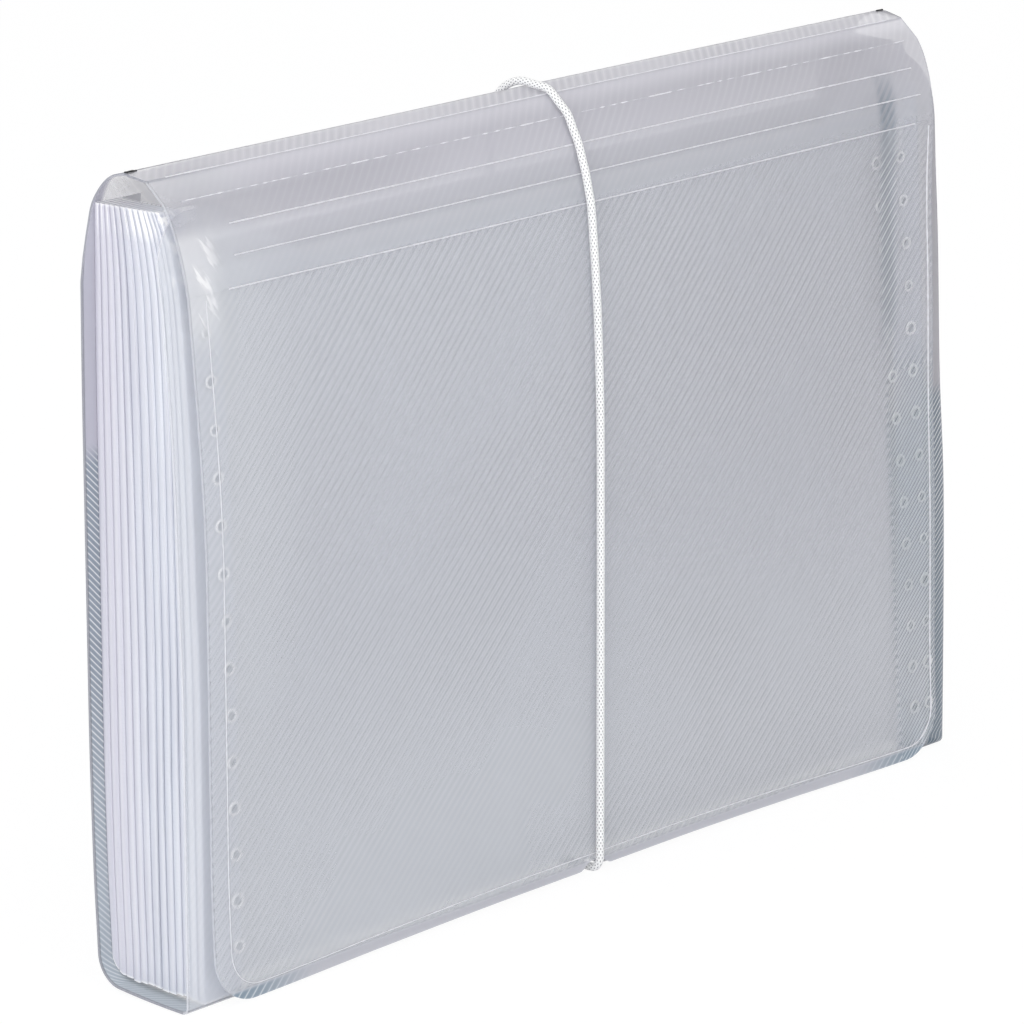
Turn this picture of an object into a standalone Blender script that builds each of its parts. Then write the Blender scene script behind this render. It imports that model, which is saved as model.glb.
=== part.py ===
"""Expanding file folder: clear plastic cover with a scored flap, pleated side gussets, pocket dividers
and an elastic cord. Metres, +Z up, front towards -Y, standing closed on its bottom panel."""

import math

import bmesh
import bpy
from mathutils import Vector

# Cover
COVER_WIDTH = 0.330
COVER_HEIGHT = 0.2306
COVER_DEPTH = 0.036
COVER_THICKNESS = 0.0007
BACK_BOW = 0.0012
BACK_BOW_SHARES = (0.33, 0.70)
BACK_CORNER_RADIUS = 0.008
RIDGE_CURL_RADIUS = 0.0112
RIDGE_TAPER_LENGTH = 0.036
RIDGE_TAPER_INSET = 0.0085
RIDGE_TAPER_POWER = 1.3
FOLD_GAP = 0.0003
CORNER_LAND = 0.001

# Front panel, in shares of the cover's height and depth
FRONT_LEAN_SHARES = (
    (0.0, 0.0),
    (0.37, 0.0),
    (0.52, 0.025),
    (0.70, 0.065),
    (0.82, 0.12),
    (0.87, 0.155),
    (0.905, 0.205),
    (0.935, 0.265),
    (0.96, 0.345),
    (0.98, 0.42),
)
FRONT_TOP_SHARE = 0.96
FRONT_CORNER_RADIUS = 0.017
CUTOUT_DEPTH = 0.020
CUTOUT_HALF_WIDTH = 0.141
CUTOUT_SLOPE_WIDTH = 0.040

# Flap
FLAP_HALF_WIDTH = 0.1575
NECK_HALF_WIDTH = 0.157
FLAP_STRIP_WIDTH = 0.0086
FLAP_STRIP_ANGLES_DEG = (5.0, 40.5, 62.0, 71.0, 77.0)
FLAP_STANDOFF = 0.0025
FLAP_CURVE_DROP = 0.1206
FLAP_CURVE_POWER = 2.5
FLAP_CORNER_RADIUS = 0.015
FLAP_FLOOR_GAP = 0.0005

# Pockets
POCKET_COUNT = 13
DIVIDER_THICKNESS = 0.0003
DIVIDER_HALF_WIDTH = 0.151
DIVIDER_BOTTOM = 0.005
DIVIDER_TOP_DROP = 0.0256
DIVIDER_CORNER_RADIUS = 0.004

# Side gussets
GUSSET_THICKNESS = 0.00025
GUSSET_HALF_WIDTH = 0.158
GUSSET_FLANGE_WIDTH = 0.0075
GUSSET_FOLD_WIDTH = 0.0006
GUSSET_BOTTOM = 0.0022
GUSSET_TOP_DROP = 0.0086
GUSSET_GAP = 0.0003

# Elastic cord
CORD_DIAMETER = 0.0024
CORD_CLEARANCE = 0.0003
CHANNEL_FLAT_HALF_WIDTH = 0.0016
CHANNEL_HALF_WIDTH = 0.007
FLAP_NOTCH_HEIGHT = 0.0034
CRIMP_DIAMETER = 0.0034
CRIMP_LENGTH = 0.010
CRIMP_HEIGHT = 0.120
CRIMP_ROUNDING = 0.0005

# The cord's centreline, in four runs from the crimp's top round to its underside: over the ridge, as (distance
# forward of the ridge, height above it); down the flap, as drops below the ridge; under the front fold, as
# (distance back from it, height); and up the back, as (distance behind the back panel's foot, height)
CORD_OVER_RIDGE = (
    (-0.0136, -0.0606),
    (-0.01355, -0.0170),
    (-0.0130, -0.0108),
    (-0.0120, -0.0065),
    (-0.0099, -0.0029),
    (-0.0067, -0.0002),
    (-0.0034, 0.00125),
    (0.0, 0.0017),
    (0.0044, 0.00125),
    (0.0082, 0.00095),
    (0.0101, 0.0001),
    (0.0130, -0.0024),
    (0.0157, -0.0047),
    (0.01685, -0.0060),
    (0.0186, -0.0095),
    (0.0202, -0.0125),
    (0.0211, -0.0146),
    (0.0223, -0.0182),
    (0.02335, -0.0212),
    (0.0239, -0.0234),
    (0.0247, -0.0268),
    (0.0255, -0.0303),
)
CORD_DOWN_FLAP = (0.0406, 0.0506, 0.0656, 0.0906, 0.1206)
CORD_UNDER_FRONT = (
    (-0.0042, 0.0600),
    (-0.0042, 0.0060),
    (-0.0040, 0.0038),
    (-0.0032, 0.0024),
    (-0.0018, 0.0014),
    (0.0000, 0.0012),
    (0.0150, 0.0012),
)
CORD_UP_BACK = (
    (-0.0050, 0.0012),
    (-0.0024, 0.0017),
    (0.0000, 0.0032),
    (0.0018, 0.0053),
    (0.0026, 0.0080),
    (0.0029, 0.0130),
    (0.0030, 0.0600),
)
CORD_BACK_STANDOFF = 0.0030
CORD_FLAP_STANDOFF = 0.0016

# Counts
ARC_STEPS = 6
CORNER_STEPS = 5
CUTOUT_STEPS = 6
CORD_BEVEL_RESOLUTION = 2
CRIMP_SIDES = 24

# Worked out from the sizes above
FRONT_Y = -COVER_DEPTH / 2
HALF_WIDTH = COVER_WIDTH / 2
CHANNEL_HEIGHT = CORD_DIAMETER + CORD_CLEARANCE
BACK_TOP_HEIGHT = COVER_HEIGHT - RIDGE_CURL_RADIUS
RIDGE_Y = FRONT_Y + COVER_DEPTH + BACK_BOW / 2 - RIDGE_CURL_RADIUS
FRONT_TOP = COVER_HEIGHT * FRONT_TOP_SHARE
FLAP_FLAT_HEIGHT = COVER_HEIGHT - FLAP_CURVE_DROP
DIVIDER_TOP = COVER_HEIGHT - DIVIDER_TOP_DROP
GUSSET_TOP = COVER_HEIGHT - GUSSET_TOP_DROP
FOLD_AXIS = Vector((0, FRONT_Y + COVER_THICKNESS / 2, COVER_THICKNESS / 2))

# Looks, as (colour, roughness, alpha)
COVER_LOOK = ((0.60, 0.63, 0.67, 1), 0.35, 0.55)
DIVIDER_LOOK = ((0.72, 0.74, 0.78, 1), 0.45, 0.6)
GUSSET_LOOK = ((0.78, 0.80, 0.84, 1), 0.4, 0.6)
CORD_LOOK = ((0.80, 0.81, 0.80, 1), 0.8, 1.0)
CRIMP_LOOK = ((0.70, 0.71, 0.72, 1), 0.35, 1.0)


def clear_scene():
    for obj in list(bpy.data.objects):
        bpy.data.objects.remove(obj, do_unlink=True)


def new_collection(name):
    collection = bpy.data.collections.new(name)
    bpy.context.scene.collection.children.link(collection)
    return collection


def make_material(name, look):
    """One Principled material for one piece."""
    colour, roughness, alpha = look
    material = bpy.data.materials.new(name)
    material.use_nodes = True
    shader = material.node_tree.nodes["Principled BSDF"]
    shader.inputs["Base Color"].default_value = colour
    shader.inputs["Roughness"].default_value = roughness
    shader.inputs["Metallic"].default_value = 0
    shader.inputs["Alpha"].default_value = alpha
    material.diffuse_color = (*colour[:3], alpha)
    return material


def add_pivot(collection, name, point, parent=None):
    """An empty on a joint's axis, carried by the empty of the piece before it."""
    pivot = bpy.data.objects.new(name, None)
    collection.objects.link(pivot)
    pivot.parent = parent
    pivot.location = point - parent.matrix_world.translation if parent else point
    bpy.context.view_layer.update()
    return pivot


def finish_piece(collection, name, mesh, look, pivot=None):
    """Links one piece, with its own material, and seats it on its pivot."""
    obj = bpy.data.objects.new(name, mesh)
    collection.objects.link(obj)
    obj.data.materials.append(make_material(name + "_finish", look))
    if pivot:
        obj.parent = pivot
    return obj


def add_sheet(collection, name, columns, rows, place, thickness, look, pivot=None, side=-1):
    """A bent sheet: a grid whose points place(column, row) puts, thickened to one side of its outer face."""
    shift = pivot.matrix_world.translation if pivot else Vector()
    grid = bmesh.new()
    bmesh.ops.create_grid(grid, x_segments=len(columns) - 1, y_segments=len(rows) - 1, size=1)
    for vert in grid.verts:
        column = columns[round((vert.co.x + 1) / 2 * (len(columns) - 1))]
        row = rows[round((vert.co.y + 1) / 2 * (len(rows) - 1))]
        vert.co = Vector(place(column, row)) - shift
    grid.normal_update()
    mesh = bpy.data.meshes.new(name)
    grid.to_mesh(mesh)
    grid.free()
    obj = finish_piece(collection, name, mesh, look, pivot)
    solid = obj.modifiers.new("thickness", "SOLIDIFY")
    solid.thickness = thickness
    solid.offset = side
    return obj


def interpolate(shares, along):
    """The value that a table of (place, value) shares has at this place, straight between its points."""
    for (a, low), (b, high) in zip(shares, shares[1:]):
        if along <= b:
            return low + (high - low) * (along - a) / (b - a)
    return shares[-1][1]


def front_y(z):
    """The front panel's outer face at this height."""
    return FRONT_Y + COVER_DEPTH * interpolate(FRONT_LEAN_SHARES, z / COVER_HEIGHT)


def back_flat_y(z):
    """The back panel's outer face between its rounded bottom and its curled top."""
    low, high = (share * COVER_HEIGHT for share in BACK_BOW_SHARES)
    bow = ((BACK_CORNER_RADIUS, 0), (low, BACK_BOW), (high, BACK_BOW), (BACK_TOP_HEIGHT, BACK_BOW / 2))
    return FRONT_Y + COVER_DEPTH + interpolate(bow, z)


def back_inner_y(z):
    """The back panel's inner face at this height."""
    if z < BACK_CORNER_RADIUS:
        centre = FRONT_Y + COVER_DEPTH - BACK_CORNER_RADIUS
        inner = BACK_CORNER_RADIUS - COVER_THICKNESS
        return centre + math.sqrt(max(0, inner**2 - (BACK_CORNER_RADIUS - z) ** 2))
    if z > BACK_TOP_HEIGHT:
        inner = RIDGE_CURL_RADIUS - COVER_THICKNESS
        return RIDGE_Y + math.sqrt(max(0, inner**2 - (z - BACK_TOP_HEIGHT) ** 2))
    return back_flat_y(z) - COVER_THICKNESS


def bundle_y(share, z):
    """Where a sheet lies between the front panel (share 0) and the back panel (share 1)."""
    front = front_y(z) + COVER_THICKNESS
    return front + share * (back_inner_y(z) - front)


def channel(x):
    """How much of the cord's channel is pressed in at this x: 1 in its middle, 0 outside it."""
    off = abs(x)
    if off <= CHANNEL_FLAT_HALF_WIDTH:
        return 1
    if off >= CHANNEL_HALF_WIDTH:
        return 0
    turn = (off - CHANNEL_FLAT_HALF_WIDTH) / (CHANNEL_HALF_WIDTH - CHANNEL_FLAT_HALF_WIDTH)
    return (1 + math.cos(math.pi * turn)) / 2


def mirrored(offsets):
    """These offsets on both sides of the middle, lowest first."""
    return sorted({-x for x in offsets} | set(offsets))


def channel_columns():
    slope = CHANNEL_HALF_WIDTH - CHANNEL_FLAT_HALF_WIDTH
    return [0] + [CHANNEL_FLAT_HALF_WIDTH + slope * n / 3 for n in range(4)]


def corner_columns(half_width, radius):
    """Columns across a rounded corner, closer together near the edge."""
    turns = [math.pi / 2 * n / CORNER_STEPS for n in range(CORNER_STEPS + 1)]
    return [half_width - radius * (1 - math.sin(turn)) for turn in turns]


def corner_drop(x, half_width, radius):
    """How far a rounded corner has drawn back at this x."""
    into = abs(x) - (half_width - radius)
    if into <= 0:
        return 0
    return radius - math.sqrt(max(0, radius**2 - into**2))


def flap_folds():
    """The score lines as (y, z), from the ridge to the top of the flap's panel."""
    folds = [(RIDGE_Y, COVER_HEIGHT)]
    for angle in FLAP_STRIP_ANGLES_DEG:
        y, z = folds[-1]
        y -= FLAP_STRIP_WIDTH * math.cos(math.radians(angle))
        z -= FLAP_STRIP_WIDTH * math.sin(math.radians(angle))
        folds.append((y, z))
    return folds


def fold_insets():
    """How far the sheets stop short of each score line, so that their inner faces stay apart there."""
    angles = (0, *FLAP_STRIP_ANGLES_DEG, 90)
    bends = [math.radians(b - a) for a, b in zip(angles, angles[1:])]
    return [FOLD_GAP / 2 + COVER_THICKNESS * math.tan(bend / 2) for bend in bends]


def back_rows():
    """The back panel's section as (kind, value): the rounded bottom, the bowed flat and the curled top."""
    turns = [math.pi / 2 * n / ARC_STEPS for n in range(ARC_STEPS + 1)]
    flat = [share * COVER_HEIGHT for share in BACK_BOW_SHARES]
    flat.append(BACK_TOP_HEIGHT + RIDGE_CURL_RADIUS * math.pi / 2 - RIDGE_TAPER_LENGTH)
    return (
        [("bottom", turn) for turn in turns]
        + [("flat", z) for z in flat]
        + [("top", turn) for turn in turns]
    )


def back_point(x, row):
    """A point of the back panel's outer face."""
    kind, value = row
    pressed = CHANNEL_HEIGHT * channel(x)
    curl = RIDGE_CURL_RADIUS
    if kind == "bottom":
        centre = FRONT_Y + COVER_DEPTH - BACK_CORNER_RADIUS
        y = centre + BACK_CORNER_RADIUS * math.sin(value) + pressed * (1 - math.sin(value))
        z = BACK_CORNER_RADIUS * (1 - math.cos(value)) + pressed * math.cos(value)
        return x, y, z
    if kind == "flat":
        y, z = back_flat_y(value), value
        below_ridge = BACK_TOP_HEIGHT - z + curl * math.pi / 2
    else:
        y = RIDGE_Y + curl * math.cos(value)
        z = BACK_TOP_HEIGHT + curl * math.sin(value)
        below_ridge = curl * (math.pi / 2 - value)
    if abs(x) == HALF_WIDTH and below_ridge < RIDGE_TAPER_LENGTH:
        drawn_in = (1 - below_ridge / RIDGE_TAPER_LENGTH) ** RIDGE_TAPER_POWER
        x = math.copysign(HALF_WIDTH - RIDGE_TAPER_INSET * drawn_in, x)
    return x, y, z


def add_back_panel(collection):
    columns = mirrored(channel_columns() + [HALF_WIDTH])
    add_sheet(collection, "back_panel", columns, back_rows(), back_point, COVER_THICKNESS, COVER_LOOK, side=1)


def add_bottom_panel(collection):
    """The panel that the file stands on, pressed up into a channel where the cord crosses it."""
    columns = mirrored(channel_columns() + [HALF_WIDTH])
    back_end = FRONT_Y + COVER_DEPTH - BACK_CORNER_RADIUS - FOLD_GAP

    def place(x, y):
        pressed = CHANNEL_HEIGHT * channel(x)
        return x, y + (pressed if y == back_end else 0), pressed

    rows = [FRONT_Y, back_end]
    add_sheet(collection, "bottom_panel", columns, rows, place, COVER_THICKNESS, COVER_LOOK, side=1)


def cutout_columns():
    start = CUTOUT_HALF_WIDTH - CUTOUT_SLOPE_WIDTH
    return [start + CUTOUT_SLOPE_WIDTH * n / CUTOUT_STEPS for n in range(CUTOUT_STEPS + 1)]


def front_top(x):
    """The front panel's upper edge: rounded corners, and lower between them, for the thumb."""
    into = (CUTOUT_HALF_WIDTH - abs(x)) / CUTOUT_SLOPE_WIDTH
    dip = (1 - math.cos(math.pi * min(1, max(0, into)))) / 2
    return FRONT_TOP - CUTOUT_DEPTH * dip - corner_drop(x, HALF_WIDTH, FRONT_CORNER_RADIUS)


def add_front_panel(collection, pivot):
    """The panel that swings forward on the front fold and carries the pockets with it."""
    even_top = FRONT_TOP - CUTOUT_DEPTH - CORD_DIAMETER
    columns = mirrored(
        channel_columns() + cutout_columns() + corner_columns(HALF_WIDTH, FRONT_CORNER_RADIUS)
    )
    lean_rows = [share * COVER_HEIGHT for share, _ in FRONT_LEAN_SHARES[1:]]
    even_rows = [BACK_CORNER_RADIUS] + [z for z in lean_rows if z < even_top]
    upper_shares = [n / CORNER_STEPS for n in range(CORNER_STEPS + 1)]
    rows = [("bottom", 0)] + [("even", z) for z in even_rows] + [("upper", share) for share in upper_shares]

    def place(x, row):
        kind, value = row
        if kind == "bottom":
            z = COVER_THICKNESS + FOLD_GAP + CHANNEL_HEIGHT * channel(x)
        elif kind == "even":
            z = value
        else:
            z = even_top + (front_top(x) - even_top) * value
        return x, front_y(z), z

    add_sheet(collection, "front_panel", columns, rows, place, COVER_THICKNESS, COVER_LOOK, pivot)


def flap_y(z):
    """The flap panel's outer face: flat below, and drawn back to the last score line above."""
    end_y, end_z = flap_folds()[-1]
    flat = FRONT_Y - FLAP_STANDOFF
    if z <= FLAP_FLAT_HEIGHT:
        return flat
    into = (z - FLAP_FLAT_HEIGHT) / (end_z - FLAP_FLAT_HEIGHT)
    return flat + (end_y - flat) * into**FLAP_CURVE_POWER


def add_flap_strips(collection, pivot):
    """The narrow strips between the score lines. The first stays with the back panel, and the rest are the
    arched top of the flap."""
    folds, insets = flap_folds(), fold_insets()
    insets[0] *= 2
    for n, (start, end) in enumerate(zip(folds, folds[1:])):
        start_half = NECK_HALF_WIDTH if n == 0 else FLAP_HALF_WIDTH
        along = Vector((0, end[0] - start[0], end[1] - start[1])).normalized()
        ends = [
            (start_half, Vector((0, *start)) + along * insets[n]),
            (FLAP_HALF_WIDTH, Vector((0, *end)) - along * insets[n + 1]),
        ]

        def place(side, row):
            half, point = row
            return side * half, point.y, point.z

        name = f"flap_strip_{n + 1}"
        carrier = pivot if n else None
        add_sheet(collection, name, [-1, 1], ends, place, COVER_THICKNESS, COVER_LOOK, carrier, 1)


def add_flap_panel(collection, pivot):
    """The large panel that hangs down over the front, with rounded lower corners and a notch for the cord."""
    top = flap_folds()[-1][1] - fold_insets()[-1]
    columns = mirrored(channel_columns() + corner_columns(FLAP_HALF_WIDTH, FLAP_CORNER_RADIUS))
    even_low = FLAP_CORNER_RADIUS + FLAP_FLOOR_GAP + CORNER_LAND
    curve = [FLAP_FLAT_HEIGHT + (top - FLAP_FLAT_HEIGHT) * n / ARC_STEPS for n in range(ARC_STEPS + 1)]

    def place(x, row):
        z = row
        if row == 0:
            drawn = corner_drop(x, FLAP_HALF_WIDTH, FLAP_CORNER_RADIUS)
            z = FLAP_FLOOR_GAP + drawn + FLAP_NOTCH_HEIGHT * channel(x)
        return x, flap_y(z), z

    rows = [0, even_low] + curve
    add_sheet(collection, "flap_panel", columns, rows, place, COVER_THICKNESS, COVER_LOOK, pivot)


def bundle_rows(low, high):
    """Heights where the sheets between the panels change their slope."""
    bends = [share * COVER_HEIGHT for share, _ in FRONT_LEAN_SHARES]
    bends += [share * COVER_HEIGHT for share in BACK_BOW_SHARES] + [BACK_CORNER_RADIUS, BACK_TOP_HEIGHT]
    return [low] + sorted({z for z in bends if low < z < high}) + [high]


def add_divider(collection, number, pivot):
    """One pocket wall, as wide as the gussets' inner folds, with rounded upper corners."""
    share = 1 - number / POCKET_COUNT
    columns = mirrored(corner_columns(DIVIDER_HALF_WIDTH, DIVIDER_CORNER_RADIUS))
    top_row = DIVIDER_TOP
    rows = bundle_rows(DIVIDER_BOTTOM, DIVIDER_TOP - DIVIDER_CORNER_RADIUS - CORNER_LAND) + [top_row]

    def place(x, row):
        z = row
        if row == top_row:
            z -= corner_drop(x, DIVIDER_HALF_WIDTH, DIVIDER_CORNER_RADIUS)
        return x, bundle_y(share, z), z

    name = f"divider_{number:02d}"
    add_sheet(collection, name, columns, rows, place, DIVIDER_THICKNESS, DIVIDER_LOOK, pivot, 0)


def add_pleat(collection, number, side, pivot):
    """One outward fold of a side gusset. The first and last also have the flange welded to their panel."""
    rear = 1 - (number - 1) / POCKET_COUNT
    front = 1 - number / POCKET_COUNT
    inner = DIVIDER_HALF_WIDTH + GUSSET_GAP
    flange = DIVIDER_HALF_WIDTH - GUSSET_FLANGE_WIDTH
    at_back, at_front = number == 1, number == POCKET_COUNT
    rear_gap = GUSSET_GAP if at_back else GUSSET_GAP / 2
    front_gap = GUSSET_GAP if at_front else GUSSET_GAP / 2
    apex = GUSSET_FOLD_WIDTH / 2
    columns = [("rear", inner), ("apex", apex), ("apex", -apex), ("front", inner)]
    if at_back:
        columns.insert(0, ("rear", flange))
    if at_front:
        columns.append(("front", flange))
    if side > 0:
        columns.reverse()

    def place(column, z):
        kind, value = column
        rear_y = bundle_y(rear, z) - rear_gap
        fore_y = bundle_y(front, z) + front_gap
        if kind == "apex":
            return side * GUSSET_HALF_WIDTH, (rear_y + fore_y) / 2 + value, z
        return side * value, rear_y if kind == "rear" else fore_y, z

    name = f"gusset_pleat_{'left' if side < 0 else 'right'}_{number:02d}"
    rows = bundle_rows(GUSSET_BOTTOM, GUSSET_TOP)
    add_sheet(collection, name, columns, rows, place, GUSSET_THICKNESS, GUSSET_LOOK, pivot)


def cord_points():
    """The cord's centreline as (y, z), from one end of the crimp to the other."""
    back = FRONT_Y + COVER_DEPTH
    end = CRIMP_LENGTH / 2 + CORD_CLEARANCE
    points = [(back + CORD_BACK_STANDOFF, CRIMP_HEIGHT + end)]
    points += [(RIDGE_Y - forward, COVER_HEIGHT + above) for forward, above in CORD_OVER_RIDGE]
    heights = [COVER_HEIGHT - drop for drop in CORD_DOWN_FLAP]
    points += [(flap_y(z) - CORD_FLAP_STANDOFF, z) for z in heights]
    points += [(FRONT_Y + behind, z) for behind, z in CORD_UNDER_FRONT]
    points += [(back + behind, z) for behind, z in CORD_UP_BACK]
    points.append((back + CORD_BACK_STANDOFF, CRIMP_HEIGHT - end))
    return points


def add_cord(collection, pivot):
    """The elastic cord, along its route from one end of the crimp to the other."""
    shift = pivot.matrix_world.translation
    curve = bpy.data.curves.new("elastic_cord", "CURVE")
    curve.dimensions = "3D"
    curve.bevel_depth = CORD_DIAMETER / 2
    curve.bevel_resolution = CORD_BEVEL_RESOLUTION
    curve.use_fill_caps = True
    spline = curve.splines.new("POLY")
    points = cord_points()
    spline.points.add(len(points) - 1)
    for point, (y, z) in zip(spline.points, points):
        point.co = (*(Vector((0, y, z)) - shift), 1)
    finish_piece(collection, "elastic_cord", curve, CORD_LOOK, pivot)


def add_crimp(collection, pivot):
    """The sleeve that joins the cord's two ends, a turned profile with rounded rims."""
    radius, half = CRIMP_DIAMETER / 2, CRIMP_LENGTH / 2
    profile = [(0, -half), (radius - CRIMP_ROUNDING, -half), (radius, CRIMP_ROUNDING - half)]
    profile += [(r, -z) for r, z in reversed(profile)]
    outline = bmesh.new()
    verts = [outline.verts.new((r, 0, z)) for r, z in profile]
    for a, b in zip(verts, verts[1:]):
        outline.edges.new((a, b))
    mesh = bpy.data.meshes.new("cord_crimp")
    outline.to_mesh(mesh)
    outline.free()
    obj = finish_piece(collection, "cord_crimp", mesh, CRIMP_LOOK, pivot)
    centre = Vector((0, FRONT_Y + COVER_DEPTH + CORD_BACK_STANDOFF, CRIMP_HEIGHT))
    obj.location = centre - pivot.matrix_world.translation
    turned = obj.modifiers.new("turned", "SCREW")
    turned.steps = turned.render_steps = CRIMP_SIDES
    turned.use_merge_vertices = True
    turned.merge_threshold = CRIMP_ROUNDING / 100
    turned.use_normal_calculate = True


def build():
    clear_scene()
    folder = new_collection("expanding_file_folder")
    add_back_panel(folder)
    add_bottom_panel(folder)

    folds = flap_folds()
    ridge_pivot = add_pivot(folder, "ridge_fold", Vector((0, *folds[1])))
    flap_pivot = add_pivot(folder, "flap_fold", Vector((0, *folds[-1])), ridge_pivot)
    add_flap_strips(folder, ridge_pivot)
    add_flap_panel(folder, flap_pivot)

    carrier = None
    for number in range(1, POCKET_COUNT):
        carrier = add_pivot(folder, f"pocket_fold_{number:02d}", FOLD_AXIS, carrier)
        add_divider(folder, number, carrier)
        for side in (-1, 1):
            add_pleat(folder, number, side, carrier)
    front_pivot = add_pivot(folder, "front_fold", FOLD_AXIS, carrier)
    add_front_panel(folder, front_pivot)
    for side in (-1, 1):
        add_pleat(folder, POCKET_COUNT, side, front_pivot)

    cord_pivot = add_pivot(folder, "cord_loop", Vector((0, FRONT_Y + COVER_DEPTH, CRIMP_HEIGHT)))
    add_cord(folder, cord_pivot)
    add_crimp(folder, cord_pivot)


build()
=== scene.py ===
from math import atan2, copysign, cos, pi, radians, sin, sqrt

import bpy
import numpy as np
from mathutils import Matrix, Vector


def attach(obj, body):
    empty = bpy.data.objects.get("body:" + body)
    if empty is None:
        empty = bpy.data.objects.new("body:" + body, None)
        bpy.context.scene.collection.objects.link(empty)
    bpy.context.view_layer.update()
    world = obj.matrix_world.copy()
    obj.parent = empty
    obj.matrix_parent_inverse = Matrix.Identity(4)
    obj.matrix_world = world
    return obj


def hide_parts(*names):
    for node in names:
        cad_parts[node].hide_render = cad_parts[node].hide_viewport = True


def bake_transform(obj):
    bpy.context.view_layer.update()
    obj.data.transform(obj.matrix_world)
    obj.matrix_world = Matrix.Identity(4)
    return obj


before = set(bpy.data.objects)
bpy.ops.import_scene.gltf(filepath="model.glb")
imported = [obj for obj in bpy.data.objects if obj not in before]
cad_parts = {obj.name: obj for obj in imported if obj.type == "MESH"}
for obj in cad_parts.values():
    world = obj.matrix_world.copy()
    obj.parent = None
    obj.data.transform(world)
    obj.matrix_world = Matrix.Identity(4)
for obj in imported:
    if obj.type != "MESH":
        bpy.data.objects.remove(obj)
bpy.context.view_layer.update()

scene = bpy.context.scene
mm = 0.001
quarter = pi / 2


# Numbers and colours

def colour(*levels):
    shares = [level / 255 for level in levels]
    return tuple(c / 12.92 if c <= 0.04 else ((c + 0.055) / 1.055) ** 2.4 for c in shares) + (1.0,)


def inMetres(**sizes):  # a dictionary of sizes that are given in millimetres
    return {name: size * mm for name, size in sizes.items()}


def ease(low, high, value):
    t = min(1.0, max(0.0, (value - low) / (high - low)))
    return t * t * (3 - 2 * t)


def cubic(t, a, wayOut, b, wayIn):
    return ((2 * t**3 - 3 * t**2 + 1) * a + (t**3 - 2 * t**2 + t) * wayOut
            + (3 * t**2 - 2 * t**3) * b + (t**3 - t**2) * wayIn)


def curveThrough(table, value):  # a smooth curve through (place, value) pairs that never overshoots them
    if value <= table[0][0]:
        return table[0][1]
    for n in range(len(table) - 1):
        (a, low), (b, high) = table[n], table[n + 1]
        if value > b:
            continue
        rise = (high - low) / (b - a)
        slopes = []
        for m in (n - 1, n + 1):
            if 0 <= m < len(table) - 1:
                other = (table[m + 1][1] - table[m][1]) / (table[m + 1][0] - table[m][0])
                slopes.append((rise + other) / 2 if rise * other > 0 else 0.0)
            else:
                slopes.append(rise)
        span = b - a
        return cubic((value - a) / span, low, span * slopes[0], high, span * slopes[1])
    return table[-1][1]


def spaced(start, end, count):
    return [start + (end - start) * n / count for n in range(count + 1)]


# The file's sizes, as the frame has them

cover = inMetres(
    halfWidth=165, height=230.6, depth=36, sheet=0.7, backBow=1.2, cornerRadius=8, foldRadius=2.2, curlRadius=11.2,
    taperLength=36, taperInset=8.5, evenHalf=100, channelDeep=2.7, channelFlat=1.6, channelWide=7,
    frontCorner=17, cutoutDeep=20, cutoutHalf=141, cutoutSlope=40, cutoutClear=2.4)
cover.update(bowPlaces=(0.33, 0.70), taperPower=1.3, frontTop=0.96, lean=(
    (0.0, 0.0), (0.37, 0.0), (0.52, 0.025), (0.70, 0.065), (0.82, 0.12), (0.87, 0.155),
    (0.905, 0.205), (0.935, 0.265), (0.96, 0.345), (0.98, 0.42)))
frontY = -cover["depth"] / 2
backY = cover["depth"] / 2
curlHeight = cover["height"] - cover["curlRadius"]
ridgeY = backY + cover["backBow"] / 2 - cover["curlRadius"]

flap = inMetres(halfWidth=157.5, neckHalf=157, stripWidth=8.6, bendLength=2.3, standOff=2.5, curveDrop=120.6,
                cornerRadius=15, bottomMiddle=1.5, bottomCorner=0.4, notchHigh=3.9, edgeTop=20, edgeBulge=1.1)
flap.update(stripAngles=(5.0, 40.5, 62.0, 71.0, 77.0), curvePower=2.5)

pocket = inMetres(wall=0.3, halfWidth=151, bottom=5, top=205, corner=4)
pocket["count"] = 13
gusset = inMetres(film=0.25, halfWidth=158, flange=7.5, top=222, gap=0.3)


def frontFace(z):  # y of the front panel's outer face
    return frontY + cover["depth"] * curveThrough(cover["lean"], z / cover["height"])


def backFace(z):
    low, high = (share * cover["height"] for share in cover["bowPlaces"])
    bow = cover["backBow"]
    return backY + curveThrough(((cover["cornerRadius"], 0), (low, bow), (high, bow), (curlHeight, bow / 2)), z)


def backInside(z):  # y of the back panel's inner face above the rounded corner
    if z > curlHeight:
        inner = cover["curlRadius"] - cover["sheet"]
        return ridgeY + sqrt(max(0, inner**2 - (z - curlHeight) ** 2))
    return backFace(z) - cover["sheet"]


def bundle(share, z):  # y between the front panel (0) and the back panel (1), straight down behind the rounded corner
    front = frontFace(z) + cover["sheet"]
    return front + share * (backInside(max(z, cover["cornerRadius"])) - front)


scores = [(ridgeY, cover["height"])]  # (y, z) of the six score lines, ridge first
for angle in flap["stripAngles"]:
    lastY, lastZ = scores[-1]
    turn = radians(angle)
    scores.append((lastY - flap["stripWidth"] * cos(turn), lastZ - flap["stripWidth"] * sin(turn)))


def channel(x):  # 1 where the cord's channel is deepest, 0 beside it
    flat, wide = cover["channelFlat"], cover["channelWide"]
    return (1 + cos(pi * min(1, max(0, (abs(x) - flat) / (wide - flat))))) / 2


def mirrored(places):
    return sorted({round(-x, 7) for x in places} | {round(x, 7) for x in places})


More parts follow.
